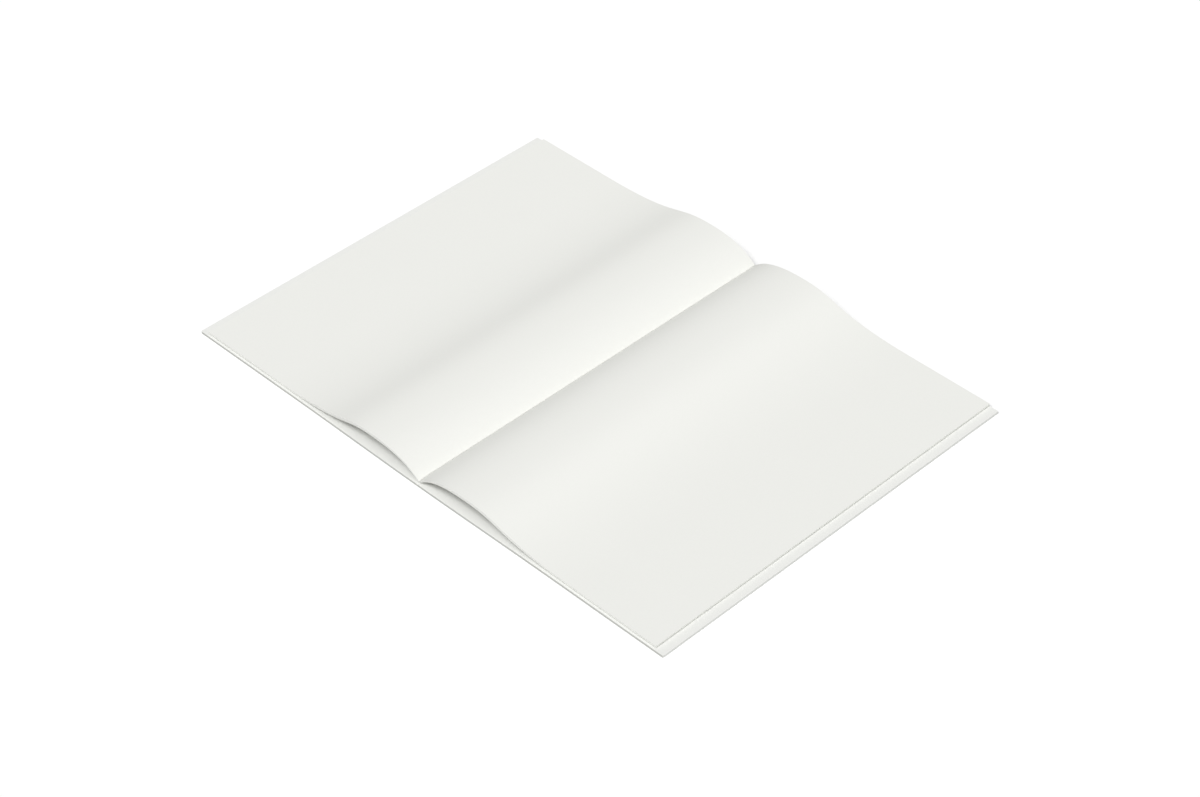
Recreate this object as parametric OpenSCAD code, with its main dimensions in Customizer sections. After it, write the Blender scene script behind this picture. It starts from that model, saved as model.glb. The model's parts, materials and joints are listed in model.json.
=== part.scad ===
// An opened notebook lying on its back: one card cover folded along the spine,
// and a block of blank leaves that arches up on each side of the fold.
// The spine runs along Y, the left half is at -X, and the cover lies on Z = 0.

/* [Cover] */
// Width of each cover half, from the fold to its outer edge
cover_w = 143.2; // [110:0.1:220]
// Height of the cover, along the spine
cover_h = 210; // [120:1:320]
// Thickness of the cover card
cover_t = 1.3; // [0.8:0.1:3]
// Radius of the cover's outer corners
corner_r = 0.6; // [0.2:0.1:8]
// Width of the score pressed into the cover along the fold
score_w = 0.8; // [0.2:0.1:2]
// Depth of the score
score_d = 0.3; // [0.1:0.05:0.6]

/* [Leaves] */
// Strip of cover that shows beyond the leaves' outer edge
side_margin = 4.4; // [1:0.1:12]
// Strip of cover that shows in front of the leaves
front_margin = 1.5; // [0:0.1:6]
// Strip of cover that shows behind the leaves
back_margin = 0; // [0:0.1:6]
// Thickness of the leaves on each side, where they lie flat
stack_t = 1.3; // [0.6:0.1:8]
// Height of the leaves at the fold, where the binding presses them together
fold_t = 1; // [0.4:0.1:8]
// Half width of the strip along the fold where the leaves are bound to the cover
bound_w = 0.6; // [0.2:0.1:3]
// Width of the crack between the two sides, along the fold
fold_gap = 0.1; // [0.04:0.02:0.3]

/* [Arch] */
// Angle at which the leaves rise from the fold
rise_angle = 42; // [20:1:55]
// Distance from the fold to the crest of the arch
crest_x = 29; // [20:1:40]
// Height of the hollow under the crest
hollow_h = 7.3; // [3:0.1:14]
// Thickness of the leaves at the crest, where they part a little
crest_t = 1.9; // [1.3:0.1:9]
// Distance from the fold to where the lowest leaf lies on the cover again
landing_x = 88; // [60:1:90]
// How much further out the top leaf becomes flat
landing_lag = 5; // [0:0.5:6]

/* [Hidden] */

// Size of the leaves, seated on the cover
page_w = cover_w - side_margin;
page_h = cover_h - front_margin - back_margin;
page_back_y = cover_h / 2 - back_margin;

// Reach of each curve handle: at the fold and at the crest as shares of the
// crest's distance, and at the shoulder and the landing as shares of the run down
fold_reach = 0.38;
crest_reach = 0.31;
shoulder_reach = 0.35;
landing_reach = 0.7;

// Straight steps in each half of an arch, and in each rounded corner
arch_steps = 20;
corner_steps = 6;

cover_color = "gainsboro";
page_color = "whitesmoke";

// Point at share t of the cubic curve with control points p
function cubic(p, t) =
    pow(1 - t, 3) * p[0] + 3 * pow(1 - t, 2) * t * p[1] + 3 * (1 - t) * t * t * p[2] + t * t * t * p[3];

// Points of that curve, from step first to the last
function curve(p, first) = [for (i = [first:arch_steps]) cubic(p, i / arch_steps)];

// One face of the arch, from its foot at the fold over the crest to the landing
function arch(foot, crest, landing) =
    let (rise = [cos(rise_angle), sin(rise_angle)] * fold_reach * crest[0],
         run = landing[0] - crest[0])
    concat(
        curve([foot, foot + rise, crest - [crest_reach * crest[0], 0], crest], 0),
        curve([crest, crest + [shoulder_reach * run, 0], landing - [landing_reach * run, 0], landing], 1));

// The list p from its last point to its first
function backwards(p) = [for (i = [len(p) - 1:-1:0]) p[i]];

// Points of a rounded corner about centre c, turning a quarter from angle a
function corner(c, a) =
    [for (i = [0:corner_steps]) c + corner_r * [cos(a + 90 * i / corner_steps), sin(a + 90 * i / corner_steps)]];

// Heights are measured from the table
underside = arch(
    [bound_w, cover_t],
    [crest_x, cover_t + hollow_h],
    [landing_x, cover_t]);
top_face = arch(
    [fold_gap / 2, cover_t + fold_t],
    [crest_x, cover_t + hollow_h + crest_t],
    [landing_x + landing_lag, cover_t + stack_t]);

// Outline of one cover half, seen from above, with its outer corners rounded
module cover_outline() {
    x = cover_w - corner_r;
    y = cover_h / 2 - corner_r;
    polygon(concat([[0, -cover_h / 2]], corner([x, -y], -90), corner([x, y], 0), [[0, cover_h / 2]]));
}

// Section of one cover half, with its half of the score at the fold
module cover_section() {
    polygon([
        [0, 0], [cover_w, 0], [cover_w, cover_t],
        [score_w / 2, cover_t], [0, cover_t - score_d]]);
}

// Section of the leaves on one side, seen from the front
module leaves_section() {
    polygon(concat(
        [[fold_gap / 2, cover_t]], underside, [[page_w, cover_t]],
        [[page_w, cover_t + stack_t]], backwards(top_face)));
}

// A section drawn in X and Z, run along the spine from y_back towards the front
module along_spine(y_back, length) {
    translate([0, y_back, 0])
        rotate([90, 0, 0])
            linear_extrude(height = length)
                children();
}

module cover_half() {
    intersection() {
        linear_extrude(height = cover_t) cover_outline();
        along_spine(cover_h / 2, cover_h) cover_section();
    }
}

module leaves() {
    along_spine(page_back_y, page_h) leaves_section();
}

module front_cover() { color(cover_color) mirror([1, 0, 0]) cover_half(); }
module back_cover() { color(cover_color) cover_half(); }
module left_pages() { color(page_color) mirror([1, 0, 0]) leaves(); }
module right_pages() { color(page_color) leaves(); }

front_cover();
back_cover();
left_pages();
right_pages();
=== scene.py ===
"""An opened notebook with blank leaves, lying on a pale floor under soft light.

The spine runs along Y, the left half of the notebook is at -X and its right half at +X.
"""
import json
import math
import random

import bmesh
import bpy
import numpy as np
from mathutils import Matrix, Vector


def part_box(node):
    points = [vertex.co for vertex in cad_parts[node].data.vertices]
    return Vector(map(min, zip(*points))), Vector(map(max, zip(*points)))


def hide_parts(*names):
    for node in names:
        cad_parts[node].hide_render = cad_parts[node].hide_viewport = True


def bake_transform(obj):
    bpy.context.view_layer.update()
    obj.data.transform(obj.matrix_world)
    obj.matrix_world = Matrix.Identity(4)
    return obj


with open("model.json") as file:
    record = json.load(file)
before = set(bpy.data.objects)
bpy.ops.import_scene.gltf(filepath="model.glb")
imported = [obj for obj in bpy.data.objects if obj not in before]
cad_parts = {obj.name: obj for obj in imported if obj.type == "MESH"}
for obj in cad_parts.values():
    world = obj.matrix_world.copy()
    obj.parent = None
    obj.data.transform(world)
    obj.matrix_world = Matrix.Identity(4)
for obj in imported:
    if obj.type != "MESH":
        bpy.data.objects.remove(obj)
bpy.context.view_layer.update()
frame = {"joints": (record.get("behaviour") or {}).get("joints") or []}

MM = 0.001
# Edges that turn by more than this are shaded sharp
SHARP_FROM = math.radians(15)
# Faces whose normal rises less than this are walls, and show the cut material
WALL_RISE = 0.6

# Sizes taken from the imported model
COVER_LOW, COVER_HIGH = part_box("back_cover")
PAGES_LOW, PAGES_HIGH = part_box("right_pages")
COVER_W = COVER_HIGH.x
COVER_H = COVER_HIGH.y - COVER_LOW.y
COVER_T = COVER_HIGH.z
PAGE_W = PAGES_HIGH.x
PAGE_FRONT, PAGE_BACK = PAGES_LOW.y, PAGES_HIGH.y
# The hinge lies where the leaves of both sides meet once the notebook is closed
HINGE_Z = frame["joints"][0]["pos_m"][2]

# Cover card
CORNER_R = 0.6 * MM
CORNER_STEPS = 6
CARD_BEVEL = 0.12 * MM
BEVEL_STEPS = 2
SCORE_HALF = 0.4 * MM
SCORE_DEPTH = 0.3 * MM
# Half width of the strip that bends when the cover closes
SPINE_HALF = 1.1 * MM
SPINE_CUTS = 24
CUT_TOLERANCE = 1e-7

# The front edge bows out a little towards the fold, on the cover and on the leaves
FRONT_BOW = 0.47 * MM
BOW_REACH = 80 * MM
BOW_CUTS = 16

# Leaves
SIDES = {"left": -1, "right": 1}
LEAVES = 13
# Points of a leaf along the spine, which crowd towards the front, and across, towards the fold
LEAF_ROWS, ROW_CROWDING = 14, 3
LEAF_COLUMNS, COLUMN_CROWDING = 76, 1.5
# Half width of the crack between the two sides
SEAM = 0.10 * MM
# Each leaf is trimmed a little differently, by up to this much
TRIM_JITTER = 0.06 * MM
RANDOM_SEED = 7
# The leaves reach a little nearer to the front than their solid, and less far out on the right
FRONT_REACH = 0.5 * MM
RIGHT_TRIM = 0.5 * MM
# The lowest leaves stand back, which leaves a dark line along the cover
UNDERCUT = 0.4 * MM
UNDERCUT_LEAVES = 4
# So many leaves, from the lowest up, stop the light from the right
BLOCKING_LEAVES = 7

# Arch of the leaves: it rises from the fold, where a narrow strip of them is bound to the cover, and
# lands on the flat part beyond the hollow
RISE_ANGLE = math.radians(42)
BOUND_W = 0.6 * MM
FOLD_T = 1.0 * MM
CREST_X = 29 * MM
CREST_TOP = PAGES_HIGH.z
CREST_T = 1.9 * MM
LANDING_X = 88 * MM
LANDING_LAG = 5 * MM
# Reach of the curves' handles, as shares of the runs from fold to crest and from crest to landing
FOLD_REACH = 0.38
CREST_REACH = 0.31
SHOULDER_REACH = 0.35
LANDING_REACH = 0.7
ARCH_STEPS = 100
# Height of the leaves in the fold towards its front and back, and how far out that shows
FOLD_T_FRONT, FOLD_T_BACK = 1.27 * MM, 0.85 * MM
PINCH_REACH = 6.5 * MM
# The fold's front end dips towards the cover over its last stretch
END_DIP = 0.35 * MM
END_REACH = 3 * MM

# Camera, solved from the cover's corners in the photograph
CAMERA_LENS = 89.445
CAMERA_SENSOR = 36.0
CAMERA_AZIMUTH = math.radians(44.5534)
CAMERA_ELEVATION = math.radians(40.6033)
CAMERA_ROLL = math.radians(0.3726)
CAMERA_DISTANCE = 1313.967 * MM
CAMERA_RIGHT = 2.7292 * MM
CAMERA_UP = -11.36 * MM
CAMERA_NEAR, CAMERA_FAR = 0.01, 50

# Light: an even surround and two soft lamps, each lamp given as the light that it lays on faces turned
# to the right, back and top
SURROUND = 0.22
SIDE_LIGHT, SIDE_ANGLE = Vector((0.305, -0.08, 0.29)), math.radians(40)
FRONT_LIGHT, FRONT_ANGLE = Vector((0, -0.335, 0.525)), math.radians(28)

# Floor: its colour for the light that it throws back and where it is seen, and a faint glow there
FLOOR_SIZE = 8.0
FLOOR_DROP = 0.02 * MM
FLOOR_BOUNCE = 0.60
FLOOR_SEEN = 0.94
FLOOR_GLOW = 0.04

# Surface of card and paper: fibres that run along the spine, faint wide clouds, and layers at the cuts
ROUGHNESS = 0.92
FIBRE_STRETCH, FIBRE_DETAIL = (1, 0.35, 1), 6
FIBRE_SPREAD, FIBRE_BUMP = 0.012, 0.35
CLOUD_SCALE, CLOUD_DETAIL, CLOUD_SHARE = 45, 3, 0.5
LAYER_STRETCH, LAYER_DETAIL = (0.02, 0.02, 1), 3
LAYER_SPREAD, LAYER_BUMP = 0.02, 0.3
# Noise levels between which a colour goes from its darkest to its lightest
TINT_FROM, TINT_TO = 0.3, 0.7

PAPER = (0.817, 0.820, 0.787)
CARD = (0.802, 0.806, 0.780)
# Cut edges: on the sides a colour lighter than the sheet's faces, which is painted light, and on the front
# and back ends, which are cut across the grain, a darker one, which is painted shade
PAPER_CUT, PAPER_CUT_SHADED_ENDS = (0.89, 0.893, 0.862), (0.84, 0.844, 0.813)
CARD_CUT, CARD_CUT_SHADED_ENDS = (0.85, 0.855, 0.825), (0.60, 0.605, 0.575)


def add_mesh(name, points, faces, *materials):
    """A new object from points and faces."""
    mesh = bpy.data.meshes.new(name)
    mesh.from_pydata(points, [], faces)
    mesh.validate()
    return add_object(name, mesh, *materials)


def add_object(name, mesh, *materials):
    """A new object that shows mesh, smooth but for its edges, with its walls in any second material."""
    mesh.shade_smooth()
    mesh.set_sharp_from_angle(angle=SHARP_FROM)
    for material in materials:
        mesh.materials.append(material)
    if len(materials) > 1:
        for face in mesh.polygons:
            face.material_index = int(abs(face.normal.z) < WALL_RISE)
    piece = bpy.data.objects.new(name, mesh)
    bpy.context.scene.collection.objects.link(piece)
    return piece


def new_material(name):
    """A material with its nodes cleared, and its node tree."""
    material = bpy.data.materials.new(name)
    material.use_nodes = True
    material.node_tree.nodes.clear()
    return material, material.node_tree


def noise(tree, scale, detail, stretch=(1, 1, 1)):
    """A noise texture in the notebook's own coordinates, drawn out along the axes where stretch is low."""
    place = tree.nodes.new("ShaderNodeTexCoord")
    mapping = tree.nodes.new("ShaderNodeMapping")
    mapping.inputs["Scale"].default_value = stretch
    texture = tree.nodes.new("ShaderNodeTexNoise")
    texture.inputs["Scale"].default_value = scale
    texture.inputs["Detail"].default_value = detail
    tree.links.new(place.outputs["Object"], mapping.inputs["Vector"])
    tree.links.new(mapping.outputs["Vector"], texture.inputs["Vector"])
    return texture.outputs["Fac"]


def tinted(tree, colour, factor, spread):
    """The colour, a little darker and lighter by spread as factor goes from low to high."""
    ramp = tree.nodes.new("ShaderNodeValToRGB")
    low, high = ramp.color_ramp.elements
    low.position, high.position = TINT_FROM, TINT_TO
    low.color = (*[c * (1 - spread) for c in colour], 1)
    high.color = (*[min(1, c * (1 + spread)) for c in colour], 1)
    tree.links.new(factor, ramp.inputs["Fac"])
    return ramp.outputs["Color"]


def mixed(tree, first, second, share):
    """A mix of two colours, with that share of the second, which is a number or an output."""
    mix = tree.nodes.new("ShaderNodeMix")
    mix.data_type = "RGBA"
    if isinstance(share, float):
        mix.inputs["Factor"].default_value = share
    else:
        tree.links.new(share, mix.inputs["Factor"])
    tree.links.new(first, mix.inputs["A"])
    tree.links.new(second, mix.inputs["B"])
    return mix.outputs["Result"]


def bumped(tree, height, distance, strength):
    """A normal that the height field roughens."""
    bump = tree.nodes.new("ShaderNodeBump")
    bump.inputs["Distance"].default_value = distance
    bump.inputs["Strength"].default_value = strength
    tree.links.new(height, bump.inputs["Height"])
    return bump.outputs["Normal"]


def matt(tree, colour, normal):
    """A matt surface with that colour and normal, as the material's output."""
    shader = tree.nodes.new("ShaderNodeBsdfPrincipled")
    shader.inputs["Roughness"].default_value = ROUGHNESS
    shader.inputs["Specular IOR Level"].default_value = 0.0
    tree.links.new(colour, shader.inputs["Base Color"])
    tree.links.new(normal, shader.inputs["Normal"])
    output = tree.nodes.new("ShaderNodeOutputMaterial")
    tree.links.new(shader.outputs["BSDF"], output.inputs["Surface"])


def fibre_material(name, colour, fibre_scale, tooth, cloud):
    """Matt uncoated paper or card: short fibres, a fine tooth and a faint cloudiness in the sheet."""
    material, tree = new_material(name)
    fibres = noise(tree, fibre_scale, FIBRE_DETAIL, FIBRE_STRETCH)
    clouds = noise(tree, CLOUD_SCALE, CLOUD_DETAIL)
    fibre_colour = tinted(tree, colour, fibres, FIBRE_SPREAD)
    cloud_colour = tinted(tree, colour, clouds, cloud)
    both = mixed(tree, fibre_colour, cloud_colour, CLOUD_SHARE)
    matt(tree, both, bumped(tree, fibres, tooth, FIBRE_BUMP))
    return material


def cut_material(name, colour, shaded_ends_colour, layer_scale, tooth):
    """A cut edge: fine streaks along the layers, in a lighter colour on the sides (painted light) and a
    darker one on the front and back ends (painted shade).
    """
    material, tree = new_material(name)
    layers = noise(tree, layer_scale, LAYER_DETAIL, LAYER_STRETCH)
    facing = tree.nodes.new("ShaderNodeNewGeometry")
    split = tree.nodes.new("ShaderNodeSeparateXYZ")
    end_shade_mask = tree.nodes.new("ShaderNodeMath")
    end_shade_mask.operation = "ABSOLUTE"
    tree.links.new(facing.outputs["True Normal"], split.inputs[0])
    tree.links.new(split.outputs["Y"], end_shade_mask.inputs[0])
    # Painted light on the sides and painted shade on the front and back ends: the two colours of the cut
    lit_sides = tinted(tree, colour, layers, LAYER_SPREAD)
    shaded_ends = tinted(tree, shaded_ends_colour, layers, LAYER_SPREAD)
    # Painted shade: faces that turn to the front and back take the darker end colour
    both = mixed(tree, lit_sides, shaded_ends, end_shade_mask.outputs[0])
    matt(tree, both, bumped(tree, layers, tooth, LAYER_BUMP))
    return material


def seen_ray(tree):
    """1 for rays from the camera, or seen in a reflection or through glass, and 0 for other light."""
    path = tree.nodes.new("ShaderNodeLightPath")
    total = path.outputs["Is Camera Ray"]
    for name in ("Is Glossy Ray", "Is Transmission Ray"):
        add = tree.nodes.new("ShaderNodeMath")
        add.operation = "ADD"
        add.use_clamp = True
        tree.links.new(total, add.inputs[0])
        tree.links.new(path.outputs[name], add.inputs[1])
        total = add.outputs[0]
    return total


def floor_material():
    """White where it is seen, with the notebook's shadow, and darker for the light it throws back."""
    material, tree = new_material("pale_floor")
    bounce = tree.nodes.new("ShaderNodeBsdfDiffuse")
    bounce.inputs["Color"].default_value = (FLOOR_BOUNCE,) * 3 + (1,)
    seen = tree.nodes.new("ShaderNodeBsdfDiffuse")
    seen.inputs["Color"].default_value = (FLOOR_SEEN,) * 3 + (1,)
    glow = tree.nodes.new("ShaderNodeEmission")
    glow.inputs["Strength"].default_value = FLOOR_GLOW
    lit = tree.nodes.new("ShaderNodeAddShader")
    mix = tree.nodes.new("ShaderNodeMixShader")
    output = tree.nodes.new("ShaderNodeOutputMaterial")
    tree.links.new(seen.outputs[0], lit.inputs[0])
    tree.links.new(glow.outputs[0], lit.inputs[1])
    tree.links.new(seen_ray(tree), mix.inputs["Fac"])
    tree.links.new(bounce.outputs[0], mix.inputs[1])
    tree.links.new(lit.outputs[0], mix.inputs[2])
    tree.links.new(mix.outputs[0], output.inputs["Surface"])
    return material


def make_surround():
    """A white world: full white where it is seen, and a dimmer light on the notebook."""
    world = bpy.data.worlds.new("surround")
    bpy.context.scene.world = world
    world.use_nodes = True
    tree = world.node_tree
    tree.nodes.clear()
    light = tree.nodes.new("ShaderNodeBackground")
    light.inputs["Strength"].default_value = SURROUND
    white = tree.nodes.new("ShaderNodeBackground")
    white.inputs["Strength"].default_value = 1.0
    for shader in (light, white):
        shader.inputs["Color"].default_value = (1, 1, 1, 1)
    mix = tree.nodes.new("ShaderNodeMixShader")
    output = tree.nodes.new("ShaderNodeOutputWorld")
    tree.links.new(seen_ray(tree), mix.inputs["Fac"])
    tree.links.new(light.outputs[0], mix.inputs[1])
    tree.links.new(white.outputs[0], mix.inputs[2])
    tree.links.new(mix.outputs[0], output.inputs["Surface"])


def make_lamp(name, light, angle):
    """A broad soft lamp that lays that light on the notebook."""
    lamp = bpy.data.lights.new(name, "SUN")
    lamp.energy = light.length * math.pi
    lamp.angle = angle
    holder = bpy.data.objects.new(name, lamp)
    holder.rotation_mode = "QUATERNION"
    holder.rotation_quaternion = light.to_track_quat("Z", "Y")
    bpy.context.scene.collection.objects.link(holder)
    return holder


def make_floor():
    """A plain pale floor under the notebook."""
    half = FLOOR_SIZE / 2
    corners = [(x, y, -FLOOR_DROP) for x, y in ((-half, -half), (half, -half), (half, half), (-half, half))]
    add_mesh("floor", corners, [(0, 1, 2, 3)], floor_material())


def make_camera():
    """The camera at the photograph's viewing angle."""
    az, el = CAMERA_AZIMUTH, CAMERA_ELEVATION
    back = Vector((math.sin(az) * math.cos(el), -math.cos(az) * math.cos(el), math.sin(el)))
    level_right = Vector((math.cos(az), math.sin(az), 0))
    level_up = back.cross(level_right)
    right = level_right * math.cos(CAMERA_ROLL) + level_up * math.sin(CAMERA_ROLL)
    up = level_up * math.cos(CAMERA_ROLL) - level_right * math.sin(CAMERA_ROLL)
    camera = bpy.data.cameras.new("camera")
    camera.sensor_width = CAMERA_SENSOR
    camera.lens = CAMERA_LENS
    camera.clip_start = CAMERA_NEAR
    camera.clip_end = CAMERA_FAR
    holder = bpy.data.objects.new("camera", camera)
    bpy.context.scene.collection.objects.link(holder)
    place = right * CAMERA_RIGHT + up * CAMERA_UP + back * CAMERA_DISTANCE
    holder.matrix_world = Matrix.Translation(place) @ Matrix((right, up, back)).transposed().to_4x4()
    bpy.context.scene.camera = holder


def smoothstep(t):
    """0 up to t = 0, 1 from t = 1, and a smooth curve between them."""
    t = np.clip(t, 0, 1)
    return t * t * (3 - 2 * t)


def bowed(x, y):
    """The place in Y of a point at x and y, once the front edge bows out."""
    towards_front = np.clip(-y / (COVER_H / 2), 0, 1)
    return y - FRONT_BOW * towards_front * (1 - smoothstep(np.abs(x) / BOW_REACH))


def cubic(p, t):
    """Points at the shares t of the cubic curve with control points p."""
    p, t = np.array(p), t[:, None]
    return (1 - t) ** 3 * p[0] + 3 * (1 - t) ** 2 * t * p[1] + 3 * (1 - t) * t**2 * p[2] + t**3 * p[3]


def arch_curve(foot, crest, landing):
    """One face of the arch in X and Z, from its foot at the fold over the crest to the landing."""
    foot, crest, landing = np.array(foot), np.array(crest), np.array(landing)
    share = np.linspace(0, 1, ARCH_STEPS)
    rise = np.array([math.cos(RISE_ANGLE), math.sin(RISE_ANGLE)]) * FOLD_REACH * crest[0]
    level, run = np.array([1, 0]), landing[0] - crest[0]
    up = cubic([foot, foot + rise, crest - level * CREST_REACH * crest[0], crest], share)
    shoulder, tail = crest + level * SHOULDER_REACH * run, landing - level * LANDING_REACH * run
    return np.vstack([up, cubic([crest, shoulder, tail, landing], share)[1:]])


UNDERSIDE = arch_curve([BOUND_W, COVER_T], [CREST_X, CREST_TOP - CREST_T], [LANDING_X, COVER_T])
TOP_FACE = arch_curve([0, COVER_T + FOLD_T], [CREST_X, CREST_TOP], [LANDING_X + LANDING_LAG, HINGE_Z])


def leaf_heights(x, y, share):
    """Heights at x and y, as on the right half, of the face at that share of the stack from below."""
    low, top = [np.interp(x, face[:, 0], face[:, 1]) for face in (UNDERSIDE, TOP_FACE)]
    from_front = y - PAGE_FRONT
    fold_t = FOLD_T_FRONT + (FOLD_T_BACK - FOLD_T_FRONT) * from_front / (PAGE_BACK - PAGE_FRONT)
    fold_t = fold_t - END_DIP * (1 - smoothstep(from_front / END_REACH))
    top = top + (fold_t - FOLD_T) * (1 - smoothstep(x / PINCH_REACH))
    return (1 - share) * low + share * top


def leaf_face(side, share, inset):
    """Points of one face of a leaf, at that share of the stack from below, as a grid."""
    outer = PAGE_W - inset - (RIGHT_TRIM if side > 0 else 0)
    front, back = PAGE_FRONT - FRONT_REACH + inset, PAGE_BACK - inset
    xs = SEAM + (outer - SEAM) * np.linspace(0, 1, LEAF_COLUMNS) ** COLUMN_CROWDING
    ys = front + (back - front) * np.linspace(0, 1, LEAF_ROWS) ** ROW_CROWDING
    x, y = np.meshgrid(xs, ys, indexing="ij")
    z = leaf_heights(x, y, share)
    return np.stack([side * x, bowed(x, y), z], axis=-1).reshape(-1, 3).tolist()


def make_leaf(name, side, number, materials):
    """One leaf of a side, number 0 being the lowest."""
    inset = random.uniform(0, TRIM_JITTER) + UNDERCUT * max(0, 1 - number / UNDERCUT_LEAVES)
    points = []
    for face in (number + 1, number):
        points += leaf_face(side, face / LEAVES, inset)
    piece = add_mesh(name, points, slab_faces(LEAF_COLUMNS, LEAF_ROWS, side < 0), *materials)
    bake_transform(piece)
    return piece


def slab_faces(columns, rows, mirrored):
    """Faces of a slab whose points are a grid for its top, then one for its underside."""
    below = columns * rows
    faces = []
    for i in range(columns - 1):
        for j in range(rows - 1):
            a, b = i * rows + j, (i + 1) * rows + j
            faces.append((a, b, b + 1, a + 1))
            faces.append((below + a, below + a + 1, below + b + 1, below + b))
    for i in range(columns - 1):
        for j, turned in ((0, False), (rows - 1, True)):
            a, b = i * rows + j, (i + 1) * rows + j
            face = (a, below + a, below + b, b)
            faces.append(face[::-1] if turned else face)
    for j in range(rows - 1):
        for i, turned in ((0, True), (columns - 1, False)):
            a = i * rows + j
            face = (a, below + a, below + a + 1, a + 1)
            faces.append(face[::-1] if turned else face)
    return [face[::-1] for face in faces] if mirrored else faces


def cover_outline():
    """The open cover's outline seen from above, with its corners rounded."""
    x, y = COVER_W - CORNER_R, COVER_H / 2 - CORNER_R
    outline = []
    for quarter, (cx, cy) in enumerate(((x, y), (-x, y), (-x, -y), (x, -y))):
        for step in range(CORNER_STEPS + 1):
            angle = math.pi / 2 * (quarter + step / CORNER_STEPS)
            outline.append((cx + CORNER_R * math.cos(angle), cy + CORNER_R * math.sin(angle)))
    return outline


def make_cover(materials):
    """The cover: one sheet of card, scored along the fold, with its cut edges just broken."""
    shape = bmesh.new()
    base = shape.faces.new([shape.verts.new((x, y, COVER_T)) for x, y in cover_outline()])
    walls = bmesh.ops.extrude_face_region(shape, geom=[base])
    lowered = [v for v in walls["geom"] if isinstance(v, bmesh.types.BMVert)]
    bmesh.ops.translate(shape, verts=lowered, vec=(0, 0, -COVER_T))
    rims = [e for e in shape.edges if abs(e.verts[0].co.z - e.verts[1].co.z) < CARD_BEVEL]
    bmesh.ops.bevel(
        shape, geom=rims, offset=CARD_BEVEL, segments=BEVEL_STEPS, profile=0.5, affect="EDGES")
    cuts = np.linspace(-SPINE_HALF, SPINE_HALF, SPINE_CUTS + 1).tolist() + [-SCORE_HALF, SCORE_HALF]
    for step in range(1, BOW_CUTS + 1):
        cuts += [-BOW_REACH * step / BOW_CUTS, BOW_REACH * step / BOW_CUTS]
    for x in cuts:
        everything = shape.verts[:] + shape.edges[:] + shape.faces[:]
        bmesh.ops.bisect_plane(
            shape, geom=everything, plane_co=(x, 0, 0), plane_no=(1, 0, 0), dist=CUT_TOLERANCE)
    for v in shape.verts:
        if v.co.z > COVER_T / 2 and abs(v.co.x) < SCORE_HALF:
            v.co.z -= SCORE_DEPTH * (1 - abs(v.co.x) / SCORE_HALF)
        v.co.y = bowed(v.co.x, v.co.y)
    bmesh.ops.recalc_face_normals(shape, faces=shape.faces[:])
    mesh = bpy.data.meshes.new("cover")
    shape.to_mesh(mesh)
    shape.free()
    piece = add_object("cover", mesh, *materials)
    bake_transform(piece)
    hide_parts("front_cover", "back_cover")


def make_leaves(materials):
    """The leaves of both sides, and a list of the lower ones."""
    random.seed(RANDOM_SEED)
    lower = []
    for name, side in SIDES.items():
        for number in range(LEAVES):
            leaf = make_leaf(f"{name}_leaf_{number + 1:02d}", side, number, materials)
            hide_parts(f"{name}_pages")
            if number < BLOCKING_LEAVES:
                lower.append(leaf)
    return lower


def block_with(lamp, leaves):
    """Only those leaves stop the lamp's light.

    So it stays out of the hollow, and the stack shades the cover less.
    """
    blockers = bpy.data.collections.new("blockers")
    for leaf in leaves:
        blockers.objects.link(leaf)
    lamp.light_linking.blocker_collection = blockers


bpy.context.scene.view_settings.view_transform = "Standard"
make_camera()
make_surround()
side_lamp = make_lamp("side_lamp", SIDE_LIGHT, SIDE_ANGLE)
make_lamp("front_lamp", FRONT_LIGHT, FRONT_ANGLE)
make_floor()
make_cover([
    fibre_material("uncoated_card", CARD, fibre_scale=1500, tooth=0.03 * MM, cloud=0.004),
    cut_material("cut_card", CARD_CUT, CARD_CUT_SHADED_ENDS, layer_scale=2500, tooth=0.05 * MM)])
lower_leaves = make_leaves([
    fibre_material("uncoated_paper", PAPER, fibre_scale=2200, tooth=0.02 * MM, cloud=0.003),
    cut_material("cut_paper", PAPER_CUT, PAPER_CUT_SHADED_ENDS, layer_scale=8000, tooth=0.02 * MM)])
block_with(side_lamp, lower_leaves)
